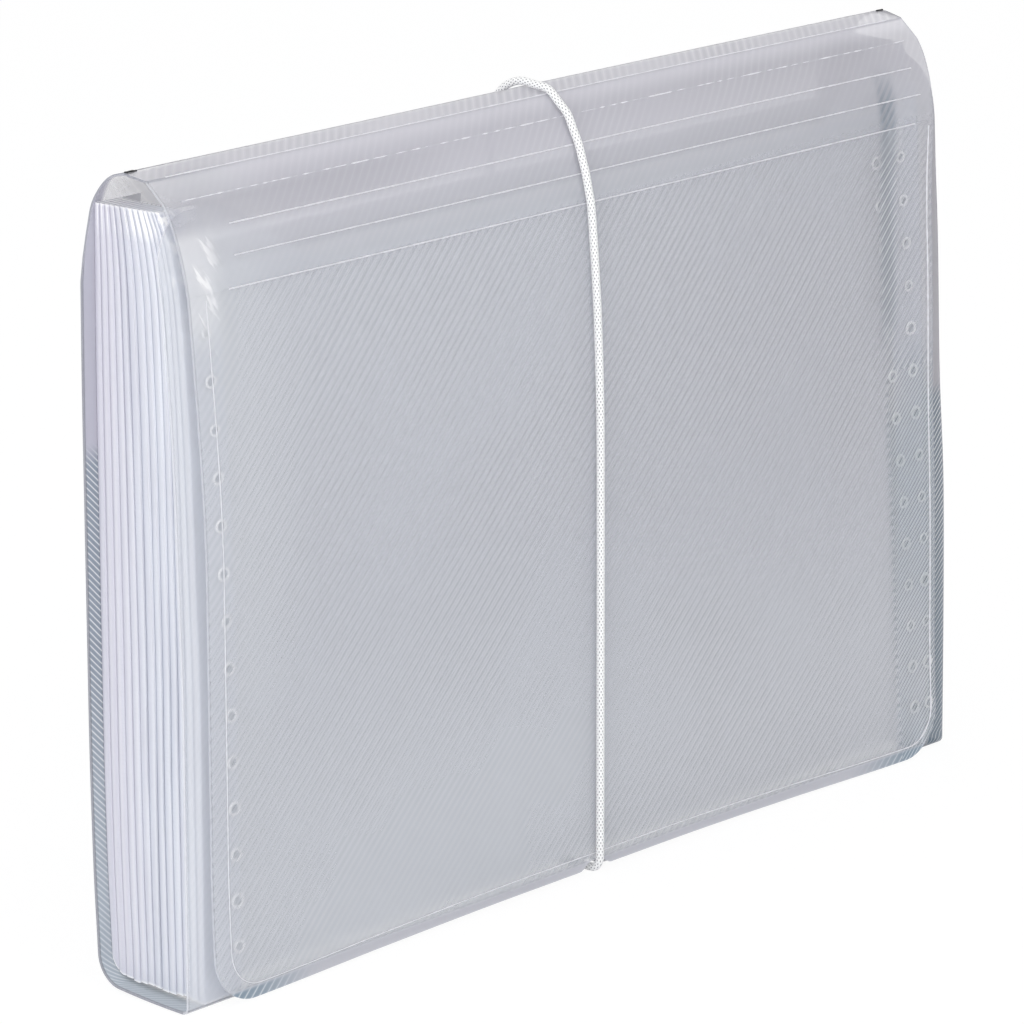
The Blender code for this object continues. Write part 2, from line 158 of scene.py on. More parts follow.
def acrossCover(half, more=()):  # columns: close together in the channel and near the sides
    near = [0, 0.8, 1.6, 2.4, 3.3, 4.3, 5.3, 6.2, 7, 9, 14]
    return mirrored([x * mm for x in near] + spaced(0.024, 0.9 * half, 12) + spaced(0.9 * half, half, 14) + list(more))


def cornerColumns(half, radius, count):
    return [half - radius * (1 - sin(t)) for t in spaced(0, quarter, count)]


def cornerDrop(x, half, radius):
    into = abs(x) - (half - radius)
    return 0.0 if into <= 0 else radius - sqrt(max(0, radius**2 - into**2))


# Sheets

def newObject(name, data):
    obj = bpy.data.objects.new(name, data)
    scene.collection.objects.link(obj)
    return obj


def newMesh(name, points, edges, faces, looks=()):
    mesh = bpy.data.meshes.new(name)
    mesh.from_pydata(points, edges, faces)
    for look in looks:
        mesh.materials.append(finishes[look])
    return newObject(name, mesh)


def mark(mesh, name, values):  # a number for each point
    mesh.attributes.new(name, "FLOAT", "POINT").data.foreach_set("value", values)


def settle(obj, sharpness=40):  # applies the modifiers and shades the result
    graph = bpy.context.evaluated_depsgraph_get()
    mesh = bpy.data.meshes.new_from_object(obj.evaluated_get(graph), depsgraph=graph)
    obj.modifiers.clear()
    obj.data = mesh
    mesh.name = obj.name
    mesh.shade_smooth()
    mesh.set_sharp_from_angle(angle=radians(sharpness))
    return obj


def makeSheet(name, columns, rows, place, thick, side, looks, sharpness=40):
    # place(column, row) gives (x, y, z) of the outer face and (u, v) on the flat sheet, in metres
    points, flat, edge = [], [], []
    wide = len(columns)
    for row in rows:
        for column in columns:
            point, uv = place(column, row)
            points.append(point)
            flat.append(uv)
        reach = max(abs(p[0]) for p in points[-wide:])
        edge += [reach - abs(p[0]) for p in points[-wide:]]
    starts = [a for a in range(wide * (len(rows) - 1)) if (a + 1) % wide]
    obj = newMesh(name, points, [], [(a, a + 1, a + wide + 1, a + wide) for a in starts], looks)
    layer = obj.data.uv_layers.new(name="sheet")
    for loop in obj.data.loops:
        layer.data[loop.index].uv = flat[loop.vertex_index]
    mark(obj.data, "edge", edge)  # distance in from the side edge
    solid = obj.modifiers.new("sheet", "SOLIDIFY")
    solid.thickness, solid.offset, solid.material_offset_rim = thick, side, 1
    return settle(obj, sharpness)


def flatSpots(mesh):  # each point's place on the flat sheet
    corners, uvs = np.zeros(len(mesh.loops), int), np.zeros(len(mesh.loops) * 2)
    mesh.loops.foreach_get("vertex_index", corners)
    mesh.uv_layers["sheet"].data.foreach_get("uv", uvs)
    spots = np.zeros((len(mesh.vertices), 2))
    spots[corners] = uvs.reshape(-1, 2)
    return spots


pieces = []


def carry(obj, body, slot, *nodes):
    pieces.append(obj)
    if isinstance(body, str):
        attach(obj, body)
    if nodes:
        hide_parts(*nodes)
    return obj


# The elastic cord, with its route as the part has it

cord = inMetres(diameter=2.4, step=0.32, strandTurn=1.85, strandRise=0.1, backOff=3, flapOff=1.6)
cord.update(
    sides=40,
    strands=7,
    overRidge=(
        (-0.0136, -0.0606), (-0.01355, -0.017), (-0.013, -0.0108), (-0.012, -0.0065), (-0.0099, -0.0029),
        (-0.0067, -0.0002), (-0.0034, 0.00125), (0.0, 0.0017), (0.0044, 0.00125), (0.0082, 0.00095),
        (0.0101, 0.0001), (0.013, -0.0024), (0.0157, -0.0047), (0.01685, -0.006), (0.0186, -0.0095),
        (0.0202, -0.0125), (0.0211, -0.0146), (0.0223, -0.0182), (0.02335, -0.0212), (0.0239, -0.0234),
        (0.0247, -0.0268), (0.0255, -0.0303)),
    downFlap=(0.0406, 0.0506, 0.0656, 0.0906, 0.1206),
    underFront=((-0.0042, 0.06), (-0.0042, 0.006), (-0.004, 0.0038), (-0.0032, 0.0024), (-0.0018, 0.0014),
                (0.0, 0.0012), (0.015, 0.0012)),
    upBack=((-0.005, 0.0012), (-0.0024, 0.0017), (0.0, 0.0032), (0.0018, 0.0053), (0.0026, 0.008),
            (0.0029, 0.013), (0.003, 0.06)),
)
crimpSizes = inMetres(radius=1.7, half=5, height=120, bore=1.3, clear=0.3)
crimpSizes["outline"] = (  # how far in from the radius, and along from the end (first three) or from the middle, in mm
    (0.45, 0, True), (0.12, 0.15, True), (0, 0.6, True), (0, -2.6, False), (0.35, -1.9, False), (0.35, -0.9, False),
    (0, -0.3, False))


# Materials

class Wiring:  # builds a node tree: each call adds one node and joins its inputs
    def __init__(self, tree, family="ShaderNode"):
        self.tree, self.family = tree, family
        tree.nodes.clear()

    def add(self, kind, **values):  # lower case names a setting; an input goes by its name, or n and its number
        node = self.tree.nodes.new(kind if "Node" in kind else self.family + kind)
        for key, value in values.items():
            if hasattr(node, key):
                setattr(node, key, value)
                continue
            socket = node.inputs[int(key[1:]) if key[1:].isdigit() else key.replace("_", " ")]
            value = getattr(value, "outputs", [value])[0]  # a node stands for its first output
            if isinstance(value, bpy.types.NodeSocket):
                self.tree.links.new(value, socket)
            else:
                socket.default_value = value
        return node

    def sum(self, operation, a, b=0.0, c=0.0, clamp=False):
        return self.add("ShaderNodeMath", operation=operation, use_clamp=clamp, n0=a, n1=b, n2=c)

    def times(self, first, *others):
        for other in others:
            first = self.sum("MULTIPLY", first, other)
        return first

    def step(self, value, low, high, first=0.0, last=1.0):
        return self.add("ShaderNodeMapRange", interpolation_type="SMOOTHSTEP",
                        n0=value, n1=low, n2=high, n3=first, n4=last)

    def between(self, share, first, last):
        return self.step(share, 0.0, 1.0, first, last)

    def zone(self, axes, edges):  # 1 inside all these edges
        return self.times(*[self.step(axes[axis], low, high) for axis, low, high in edges])

    def mix(self, share, first, second):
        return self.add("ShaderNodeMix", data_type="RGBA", n0=share, n6=first, n7=second).outputs[2]

    def noise(self, vector, scale, detail=2.0, rough=0.5):
        return self.add("TexNoise", Vector=vector, Scale=scale, Detail=detail, Roughness=rough)

    def mapped(self, vector, **change):
        return self.add("Mapping", Vector=vector, **change)

    def spot(self):  # the point itself, and its x, y, z and distance from the middle in millimetres
        place = self.add("TexCoord").outputs["Object"]
        axes = dict(zip("xyz", [self.sum("DIVIDE", axis, mm) for axis in self.add("SeparateXYZ", n0=place).outputs]))
        return place, axes | {"off": self.sum("ABSOLUTE", axes["x"])}

    def seen(self):  # 1 for what the camera sees, straight on or in a reflection
        path = self.add("LightPath").outputs
        return self.sum("MAXIMUM", path["Is Camera Ray"],
                        self.sum("MAXIMUM", path["Is Glossy Ray"], path["Is Transmission Ray"]))

    def shaded(self, see, thinner=0.55):  # a milky sheet casts a thin shadow: it scatters light onwards
        shadow = self.add("LightPath").outputs["Is Shadow Ray"]
        return self.times(see, self.sum("MULTIPLY_ADD", shadow, -thinner, 1.0))

    def bump(self, height, strength, distance):
        return self.add("Bump", Strength=strength, Distance=distance, Height=height)

    def principled(self, **inputs):
        self.add("OutputMaterial", Surface=self.add("BsdfPrincipled", **inputs))


def newFinish(name):
    finish = bpy.data.materials.new(name)
    finish.use_nodes = True
    return finish, Wiring(finish.node_tree)


plasticIor = 1.49
# line is the white of painted highlights on embossed lines and crease marks; edge also gives painted shade beside
# embossed lines; teal is painted backdrop tint; dim and column are painted shade
sheetLook = dict(
    left=colour(222, 225, 232), right=colour(217, 219, 226), archLeft=colour(208, 207, 216),
    archRight=colour(201, 200, 208), ridge=colour(226, 225, 233), teal=colour(156, 175, 188),
    line=colour(254, 254, 255), pale=colour(246, 249, 253), dim=colour(180, 179, 188), column=colour(134, 144, 156),
    strip=colour(199, 200, 208), stripCorner=colour(141, 160, 176), bottom=colour(200, 208, 216),
    edge=colour(118, 120, 130), pitch=2.3 * mm, alpha=0.3, archAlpha=0.6, creaseAlpha=0.8, columnAlpha=0.62,
    bandAlpha=0.255, stripAlpha=0.85, marginAlpha=0.72, paleShare=0.32, dimShare=0.5, hollowShare=0.3,
    bandLines=1.5, bandLineAlpha=0.24, bandLean=0.05, finerLines=0.75, roughness=0.34)
zones = dict(  # each edge: its axis, where it begins and where it is full, in mm
    rightward=(("x", -60, 120),),
    archRightward=(("x", -60, 150),),
    arch=(("z", 196, 222),),
    ridge=(("z", 225, 229.5),),
    low=(("z", 115, 30),),
    leftEnd=(("x", -110, -146),),
    # where crease glare is painted
    glaringCreases=(("x", -140, -152), ("z", 178, 196), ("z", 222, 214)),
    # where painted shade darkens a strip
    dim=(("x", -30, -90), ("z", 225.5, 222.5), ("z", 213.5, 218.5)),
    # where painted shade darkens a column at the right
    column=(("x", 131, 134), ("x", 142, 138), ("z", 120, 150), ("z", 221, 206)),
    # band: deeper lines, and painted blue-grey of the backdrop showing through
    band=(("leaning", 138, 144), ("z", 138, 112)),
    strip=(("z", 4.6, 3.4),),
    stripCorner=(("off", 114, 148), ("z", 4.2, 2.8)),
    bottom=(("z", 9, 2),),
    marginFoot=(("z", 110, 35),),
    # where glare is painted on the crumpled film
    crumpled=(("z", 178, 205), ("off", 138, 148)),
)
margins = {  # beside the flap only one sheet shows: side, reach in mm, upper, lower and foot colours, lines up to it. The lower and foot colours are painted: the blue-grey backdrop showing through the sheet
    "left": (-1.0, 148, colour(194, 193, 207), colour(143, 157, 173), colour(180, 191, 201), 0.95),
    "right": (1.0, 110, colour(168, 166, 173), colour(88, 107, 125), colour(96, 115, 132), 1.0),
    "far": (1.0, 110, colour(162, 160, 168), colour(118, 135, 151), colour(124, 141, 156), 0.4),
}


def coverFinish(name, strength, sides=(), edge=0.45, bands=False, bottom=False, arched=False, paintedGlareAndShade=False):
    look, see = sheetLook, sheetLook["alpha"]
    finish, net = newFinish(name)
    step, mix, times, between = net.step, net.mix, net.times, net.between
    flat = net.add("SeparateXYZ", n0=net.add("UVMap", uv_map="sheet")).outputs
    place, axes = net.spot()
    x, z = axes["x"], axes["z"]
    axes["leaning"] = net.sum("MULTIPLY_ADD", z, look["bandLean"], x)

    def zone(name):
        return net.zone(axes, zones[name])

    cloud = net.noise(place, 16.0)
    beside = [step(times(x, margins[side][0]), 156.4, 158.2) for side in sides]
    finer = zone("band") if bands else 0.0
    for mask in beside:
        finer = net.sum("MAXIMUM", finer, mask)
    turns = net.sum("DIVIDE", net.sum("ADD", flat[0], flat[1]), look["pitch"] * sqrt(2))
    turns = net.sum("MULTIPLY_ADD", cloud, 0.6, turns)
    closer = net.sum("MULTIPLY_ADD", net.sum("GREATER_THAN", finer, 0.5), look["finerLines"], 1.0)
    wave = net.sum("PINGPONG", times(turns, closer), 0.5)
    line, hollow = step(wave, 0.31, 0.5), step(wave, 0.28, 0.12)
    power = times(step(cloud, 0.38, 0.62, 0.3, 1.0), strength, step(x, -150, 60, 0.55, 1.0))
    tint = mix(zone("rightward"), look["left"], look["right"])
    if arched:  # denser towards the ridge
        over = zone("arch")
        roof = mix(zone("archRightward"), look["archLeft"], look["archRight"])
        tint = mix(over, tint, mix(zone("ridge"), roof, look["ridge"]))
        see = between(over, see, step(x, -158, -115, look["alpha"], look["archAlpha"]))
    if not bottom:  # paler low down and towards the left edge
        pale = net.sum("MAXIMUM", zone("low"), zone("leftEnd"))
        tint = mix(times(pale, look["paleShare"]), tint, look["pale"])
    if paintedGlareAndShade:  # white crease marks near the left end: painted glare of the film stuck crumpled behind the sheet
        slanted = net.mapped(net.mapped(place, Rotation=(0.0, 0.5, 0.0)), Scale=(1.0, 1.0, 0.16))
        sharp = step(net.noise(slanted, 260.0, 2.0, 0.6), 0.53, 0.68)
        marks = times(zone("glaringCreases"), between(sharp, 0.4, 0.95))
        tint, see = mix(marks, tint, look["line"]), between(marks, see, look["creaseAlpha"])
        # painted shade on the left part of the strip between the second and third score lines
        tint = mix(times(zone("dim"), look["dimShare"]), tint, look["dim"])
        # painted shade in a darker, striped column at the right, where the dim inside shows through
        column = times(zone("column"), step(wave, 0.12, 0.4, 0.35, 1.0))
        tint, see = mix(column, tint, look["column"]), between(column, see, look["columnAlpha"])
    if bands:  # deeper lines and a blue-grey tint over the weld marks at the right, the tint painted in as the backdrop showing through the sheet, and a closer strip along the bottom
        power = net.sum("MULTIPLY_ADD", finer, look["bandLines"], power)
        see = between(finer, see, look["bandAlpha"])
        tint = mix(times(finer, step(cloud, 0.62, 0.42, 0.4, 1.0)), tint, look["teal"])
        strip, corner = zone("strip"), zone("stripCorner")
        tint = mix(strip, tint, mix(corner, look["strip"], look["stripCorner"]))
        power, see = between(strip, power, times(corner, 0.6)), between(strip, see, look["stripAlpha"])
    if bottom:
        tint = mix(zone("bottom"), tint, look["bottom"])
    # beside the flap: below the reach, the painted blue-grey of the backdrop showing through
    for side, mask in zip(sides, beside):
        _, reach, upper, lower, foot, lines = margins[side]
        low = step(z, reach, reach + 8, 1.0, 0.0)
        tint = mix(mask, tint, mix(low, upper, mix(zone("marginFoot"), lower, foot)))
        power = mix(mask, power, times(low, step(z, 20, 90, 0.55 * lines, lines)))
        see = between(mask, see, look["marginAlpha"])
    # painted shade in the hollow beside each embossed line, then a painted highlight along the line itself
    tint = mix(times(hollow, power, look["hollowShare"]), tint, look["edge"])
    lit = net.sum("MULTIPLY", line, power, clamp=True)
    tint = mix(lit, tint, look["line"])
    if bands:
        see = net.sum("MULTIPLY_ADD", times(finer, lit), look["bandLineAlpha"], see, clamp=True)
    inFrom = net.add("Attribute", attribute_name="edge").outputs["Fac"]
    tint = mix(step(inFrom, 0.7 * mm, 0.25 * mm, 0.0, edge), tint, look["edge"])
    gloss = step(cloud, 0.3, 0.7, look["roughness"] - 0.05, look["roughness"] + 0.07)
    net.principled(Base_Color=tint, Alpha=net.shaded(see), Roughness=gloss,
                   Normal=net.bump(lit, 0.35, 0.06 * mm), IOR=plasticIor)
    return finish


def plainFinish(name, levels, alpha, roughness):
    finish, net = newFinish(name)
    cloud = net.noise(net.add("TexCoord").outputs["Object"], 240.0, 1.0)
    tint = colour(*levels)
    darker = tuple(0.94 * c for c in tint[:3]) + (1.0,)
    net.principled(Base_Color=net.mix(net.step(cloud, 0.35, 0.65), darker, tint), Alpha=alpha,
                   Roughness=net.step(cloud, 0.3, 0.7, roughness - 0.04, roughness + 0.06), IOR=plasticIor)
    return finish


filmLook = dict(
    dull=colour(218, 221, 232), clear=colour(225, 229, 239), rear=colour(219, 217, 229), rib=colour(204, 208, 219),
    white=colour(254, 254, 255), ribPitch=1.3, alpha=0.76, whiteAlpha=0.95, shadow=0.85, roughness=0.38)


def gussetFinish(name, crumpled):  # milky film, whiter along its folds and where it is crumpled at the top: painted highlights and painted glare
    look = filmLook
    finish, net = newFinish(name)
    step, mix, times = net.step, net.mix, net.times
    place, axes = net.spot()
    fold = net.add("Attribute", attribute_name="fold").outputs["Fac"]
    streaks = net.noise(net.mapped(place, Scale=(1.0, 1.0, 0.06)), 420.0)
    film = mix(step(streaks, 0.35, 0.65), look["dull"], look["clear"])
    film = mix(step(axes["y"], -4, 18, 0.0, 0.8), film, look["rear"])
    ribs = net.sum("PINGPONG", net.sum("DIVIDE", axes["z"], look["ribPitch"]), 0.5)
    film = mix(times(step(ribs, 0.12, 0.0, 0.0, 0.25), step(streaks, 0.5, 0.6)), film, look["rib"])
    # the fold mark: whiter hems, painted highlights along folds and tops, painted light on the shaded flanges
    white = times(fold, 0.85)
    # painted glare on the crumpled film near the top, towards the sides
    if crumpled:
        glaringCreases = step(net.noise(place, 130.0, 3.0, 0.75), 0.47, 0.62)
        white = net.sum("MAXIMUM", white, times(net.zone(axes, zones["crumpled"]), glaringCreases))
    see = net.between(white, look["alpha"], look["whiteAlpha"])
    net.principled(Base_Color=mix(white, film, look["white"]), Alpha=net.shaded(see, look["shadow"]),
                   Roughness=look["roughness"], Normal=net.bump(streaks, 0.25, 0.05 * mm), IOR=plasticIor)
    return finish


def braidFinish(name):  # white yarn with painted shade in a small gap at each crossing
    finish, net = newFinish(name)
    uv = net.add("UVMap", uv_map="braid")
    flat = net.add("SeparateXYZ", n0=uv).outputs
    yarn = net.noise(uv, 30.0)
    around = net.times(flat[0], float(cord["strands"]))
    left, right = (net.sum("PINGPONG", net.sum(way, around, flat[1]), 0.5) for way in ("ADD", "SUBTRACT"))
    # the gaps at the crossings, where raised is 0, get painted shade
    raised = net.step(net.sum("MAXIMUM", left, right), 0.10, 0.28)
    tint = net.mix(net.step(yarn, 0.3, 0.7), colour(246, 247, 248), colour(254, 254, 253))
    height = net.sum("MULTIPLY_ADD", yarn, 0.5, raised)
    net.principled(Base_Color=net.mix(raised, colour(136, 139, 144), tint), Roughness=0.78,
                   Normal=net.bump(height, 0.5, 0.1 * mm), Sheen_Weight=0.2)
    return finish


def floorFinish(name):
    finish, net = newFinish(name)
    matt = net.add("BsdfDiffuse", Color=colour(244, 244, 246))
    glow = net.add("Emission", Color=(1, 1, 1, 1), Strength=1.03)
    net.add("OutputMaterial", Surface=net.add("MixShader", n0=net.times(net.seen(), 0.9), n1=matt, n2=glow))
    return finish


finishes = dict(
    shell=coverFinish("backSheet", 0.5, ("left", "far"), 0.8, bottom=True, arched=True),
    front=coverFinish("frontSheet", 0.1, ("right",), 0.5),
    # flap and arch carry painted crease glare and painted shade on a strip and in a column
    flap=coverFinish("flapSheet", 0.85, bands=True, paintedGlareAndShade=True),
    arch=coverFinish("archSheet", 0.12, arched=True, paintedGlareAndShade=True),
    shellEdge=plainFinish("backCutEdge", (156, 158, 168), 0.8, 0.3),
    frontEdge=plainFinish("frontCutEdge", (232, 234, 241), 0.55, 0.3),
    cutEdge=plainFinish("sheetCutEdge", (216, 218, 226), 0.5, 0.3),
    # both films carry painted highlights along their folds
    film=gussetFinish("gussetFilm", False),
    # the front film also carries painted glare on its crumpled top
    frontFilm=gussetFinish("crumpledFilm", True),
    filmEdge=plainFinish("gussetFilmEdge", (254, 254, 255), 0.97, 0.35),
    pocket=plainFinish("pocketSheet", (246, 247, 251), 0.5, 0.42),
    pocketEdge=plainFinish("pocketSheetEdge", (246, 247, 251), 0.9, 0.4),
    pressed=plainFinish("pressedLine", (240, 240, 246), 0.9, 0.3),
    weld=plainFinish("weldMark", (254, 254, 255), 0.95, 0.22),
    weldCentre=plainFinish("weldCentre", (140, 152, 164), 0.35, 0.22),
    shade=plainFinish("ridgeShade", (84, 86, 94), 0.75, 0.4),
    # painted shadow for the cuts at the ridge's ends
    nickShade=plainFinish("foldNickShade", (26, 26, 30), 0.95, 0.5),
    braid=braidFinish("elasticBraid"),
    crimp=plainFinish("crimpSleeve", (205, 207, 210), 1.0, 0.3),
    floor=floorFinish("studioFloor"),
)
print("materials made:", len(finishes))


# Camera, lights and floor

view = dict(
    yaw=0.8369, pitch=0.2661, distance=1.7256, target=Vector((0, -0.001, 0.118)), focalPixels=5947.2,
    centrePixels=(546.32, 471.87), framePixels=1024, sensor=36)


def turnTo(obj, ahead):
    obj.rotation_mode = "QUATERNION"
    obj.rotation_quaternion = ahead.to_track_quat("-Z", "Y")


def addCamera():
    yaw, pitch, pixels = view["yaw"], view["pitch"], view["framePixels"]
    ahead = Vector((sin(yaw) * cos(pitch), cos(yaw) * cos(pitch), -sin(pitch)))
    data = bpy.data.cameras.new("camera")
    data.sensor_width = view["sensor"]
    data.lens = view["focalPixels"] / pixels * view["sensor"]
    data.shift_x = (pixels / 2 - view["centrePixels"][0]) / pixels
    data.shift_y = (view["centrePixels"][1] - pixels / 2) / pixels
    data.clip_start, data.clip_end = 0.05, 20
    camera = newObject("camera", data)
    camera.location = view["target"] - ahead * view["distance"]
    turnTo(camera, ahead)
    scene.camera = camera


studio = {
    "lamps": {  # place, size, watts
        "leftWindow": ((-1.5, -0.5, 0.7), 1.6, 13.0),
        "frontWindow": ((-0.3, -2.0, 1.5), 1.4, 7.0),
    },
    "lampTarget": Vector((0, 0, 0.11)),
    "skyStrength": 0.72,
    "floorReach": 6.0,
    "floorDrop": -0.2 * mm,
}


def addLights():
    for name, (place, size, watts) in studio["lamps"].items():
        data = bpy.data.lights.new(name, "AREA")
        data.shape, data.size, data.energy = "SQUARE", size, watts
        lamp = newObject(name, data)
        lamp.location = place
        turnTo(lamp, studio["lampTarget"] - Vector(place))
    world = bpy.data.worlds.new("studio")
    scene.world = world
    world.use_nodes = True
    net = Wiring(world.node_tree)
    strength = net.between(net.seen(), studio["skyStrength"], 1.0)
    net.add("OutputWorld", Surface=net.add("Background", Color=(1, 1, 1, 1), Strength=strength))


def addFloor():
    reach, drop = studio["floorReach"], studio["floorDrop"]
    corners = [(x * reach, y * reach, drop) for x, y in ((-1, -1), (1, -1), (1, 1), (-1, 1))]
    floor = newMesh("studioFloor", corners, [], [(0, 1, 2, 3)], ["floor"])


addCamera()
addLights()
addFloor()
scene.view_settings.view_transform = "Standard"
scene.cycles.transparent_max_bounces = 64
print("camera, lights and floor made")


# The elastic cord and its crimp

def flapFace(z):  # y of the flap panel's outer face at its middle
    endY, endZ = scores[-1]
    lowest = cover["height"] - flap["curveDrop"]
    flatY = frontY - flap["standOff"]
    if z <= lowest:
        return flatY
    return flatY + (endY - flatY) * ((z - lowest) / (endZ - lowest)) ** flap["curvePower"]


def cordRoute():
    end, back = crimpSizes["half"] + crimpSizes["clear"], backY + cord["backOff"]
    heights = [cover["height"] - drop for drop in cord["downFlap"]]
    route = [(back, crimpSizes["height"] + end)]
    route += [(ridgeY - ahead, cover["height"] + above) for ahead, above in cord["overRidge"]]
    route += [(flapFace(z) - cord["flapOff"], z) for z in heights]
    route += [(frontY + behind, z) for behind, z in cord["underFront"]]
    route += [(backY + behind, z) for behind, z in cord["upBack"]]
    return [Vector((0, y, z)) for y, z in route + [(back, crimpSizes["height"] - end)]]


def evenly(route, step):  # points a step apart along a polyline, its corners eased
    fine = [route[0]]
    for n in range(len(route) - 1):
        a, b = route[n], route[n + 1]
        before = route[n - 1] if n else a - (b - a)
        after = route[n + 2] if n + 2 < len(route) else b + (b - a)
        span = (b - a).length
        wayOut, wayIn = (b - before).normalized() * span, (after - a).normalized() * span
        count = max(2, int(span / step))
        fine += [cubic(k / count, a, wayOut, b, wayIn) for k in range(1, count + 1)]
    lengths = np.cumsum([0.0] + [(q - p).length for p, q in zip(fine, fine[1:])])
    stops = np.linspace(0, lengths[-1], int(lengths[-1] / step) + 1)
    columns = [np.interp(stops, lengths, [p[axis] for p in fine]) for axis in range(3)]
    return [Vector(p) for p in zip(*columns)], float(lengths[-1])


def quads(rings, sides, closed=False):  # faces between rings of points
    faces = []
    for n in range(rings if closed else rings - 1):
        low, high = n * sides, (n + 1) % rings * sides
        for s in range(sides):
            nextSide = (s + 1) % sides
            faces.append((low + s, low + nextSide, high + nextSide, high + s))
    return faces


def addElastic():
    line, length = evenly(cordRoute(), cord["step"])
    radius = cord["diameter"] / 2 - cord["strandRise"] * 0.5
    sides, last = cord["sides"], len(line) - 1
    along = [n * length / last / cord["strandTurn"] for n in range(len(line))]
    points, uvs = [], []
    sideways = Vector((1, 0, 0))
    for n, centre in enumerate(line):
        ahead = (line[min(n + 1, last)] - line[max(n - 1, 0)]).normalized()
        up = sideways.cross(ahead).normalized()
        for s in range(sides):
            turn = s / sides
            left, right = (abs(sin(pi * (cord["strands"] * turn + way * along[n]))) for way in (1, -1))
            over = cord["strandRise"] * (max(left, right) - 0.75) * 2
            angle = 2 * pi * turn
            points.append(centre + (sideways * cos(angle) + up * sin(angle)) * (radius + over))
            if n < last:
                nextTurn = (s + 1) / sides
                uvs += [turn, along[n], nextTurn, along[n], nextTurn, along[n + 1], turn, along[n + 1]]
    caps = [tuple(range(sides))[::-1], tuple(range(last * sides, len(points)))]
    uvs += [0.0] * 4 * sides
    obj = newMesh("elasticCord", points, [], quads(len(line), sides) + caps, ["braid"])
    obj.data.uv_layers.new(name="braid").data.foreach_set("uv", uvs)
    obj.data.shade_smooth()
    return carry(obj, "elastic", "elastic", "elastic_cord"), line, length


def addCrimp():
    sides, centre = cord["sides"], Vector((0, backY + cord["backOff"], crimpSizes["height"]))
    outline = [(crimpSizes["bore"], -crimpSizes["half"])]
    for inwards, along, fromEnd in crimpSizes["outline"]:
        outline.append((crimpSizes["radius"] - inwards * mm, along * mm - (crimpSizes["half"] if fromEnd else 0)))
    outline += [(r, -z) for r, z in reversed(outline)]
    points = []
    for r, z in outline:
        for s in range(sides):
            angle = 2 * pi * s / sides
            points.append(centre + Vector((r * cos(angle), r * sin(angle), z)))
    obj = newMesh("crimpSleeve", points, [], quads(len(outline), sides, closed=True), ["crimp"])
    obj.data.shade_smooth()
    obj.data.set_sharp_from_angle(angle=radians(50))
    return carry(obj, "elastic", "crimp", "cord_crimp")


elastic, elasticLine, elasticLength = addElastic()
crimp = addCrimp()
tuple(elasticLine[0])
[tuple(p) for p in elasticLine]
print("elastic made, mm:", round(elasticLength / mm))


# The cover: back shell, front panel, flap arch and flap panel

fullness = {"left": (1.6 * mm, 120 * mm, 190 * mm), "right": (-2.8 * mm, 165 * mm, 220 * mm),
            "rightInset": 5.2 * mm, "bow": (0.02 * mm, 0.02 * mm, 0.28 * mm, 0.14 * mm, 0.08 * mm)}


def skew(x, z):  # the arch stands fuller towards its right end, and further back at its left
    share = abs(x) / flap["halfWidth"]
    most, low, high = fullness["right" if x > 0 else "left"]
    return most * share * min(1.0, share ** 0.5) * ease(low, high, z)


def bowed(x, n, share):  # a place on strip n, bowed outwards except under the cord
    (y0, z0), (y1, z1) = scores[n], scores[n + 1]
    out = fullness["bow"][n] * 4 * share * (1 - share) * ease(0.004, 0.05, abs(x))
    turn = atan2(z0 - z1, y0 - y1)
    y, z = y0 + (y1 - y0) * share, z0 + (z1 - z0) * share
    return y - out * sin(turn), z + out * cos(turn)


def shellRows():  # (kind, place, distance along the sheet)
    radius = cover["cornerRadius"]
    rows = [("bottom", y, y - frontY) for y in spaced(frontY + cover["foldRadius"], backY - radius, 6)]
    runs = (("corner", spaced(0, quarter, 10), radius), ("flat", spaced(radius, curlHeight, 34), 1),
            ("curl", spaced(0, quarter, 14), cover["curlRadius"]),
            ("strip", (0, 0.1, 0.3, 0.5, 0.7, 0.9, 1.0), flap["stripWidth"]))
    for kind, places, scale in runs:
        base = rows[-1][2]
        rows += [(kind, place, base + scale * (place - places[0])) for place in places[1:]]
    return rows


def sideways(x, half):  # moves a column in where the sheet narrows
    start = cover["evenHalf"]
    if abs(x) <= start:
        return x
    return copysign(start + (abs(x) - start) * (half - start) / (cover["halfWidth"] - start), x)


def placeShell(x, row):
    kind, value, s = row
    pressed, half, radius = cover["channelDeep"] * channel(x), cover["halfWidth"], cover["cornerRadius"]
    if kind == "bottom":
        y, z = value, pressed
    elif kind == "corner":
        y = backY - radius + radius * sin(value) + pressed * (1 - sin(value))
        z = radius * (1 - cos(value)) + pressed * cos(value)
    elif kind == "flat":
        y, z = backFace(value), value
    elif kind == "curl":
        y = ridgeY + cover["curlRadius"] * cos(value)
        z = curlHeight + cover["curlRadius"] * sin(value)
    else:
        y, z = bowed(x, 0, value)
        half = flap["neckHalf"] + (flap["halfWidth"] - flap["neckHalf"]) * value
    below = max(0, shellRidge - s)
    inset = fullness["rightInset"] if x > 0 else cover["taperInset"]
    if kind == "strip":
        half += (cover["taperInset"] - inset) * (1 - value)
    elif below < cover["taperLength"]:
        half -= inset * (1 - below / cover["taperLength"]) ** cover["taperPower"]
    moved = sideways(x, half)
    y += skew(moved, z) * ease(-backY, scores[0][0] - backY, -y)
    return (moved, y, z), (moved, s)


rowsOfShell = shellRows()
shellRidge = max(s for kind, _, s in rowsOfShell if kind == "curl")
shell = makeSheet("coverShell", acrossCover(cover["halfWidth"]), rowsOfShell, placeShell, cover["sheet"], 1,
                  ["shell", "shellEdge"])
carry(shell, "cover", "cover_sheet", "back_panel", "bottom_panel", "flap_strip_1")

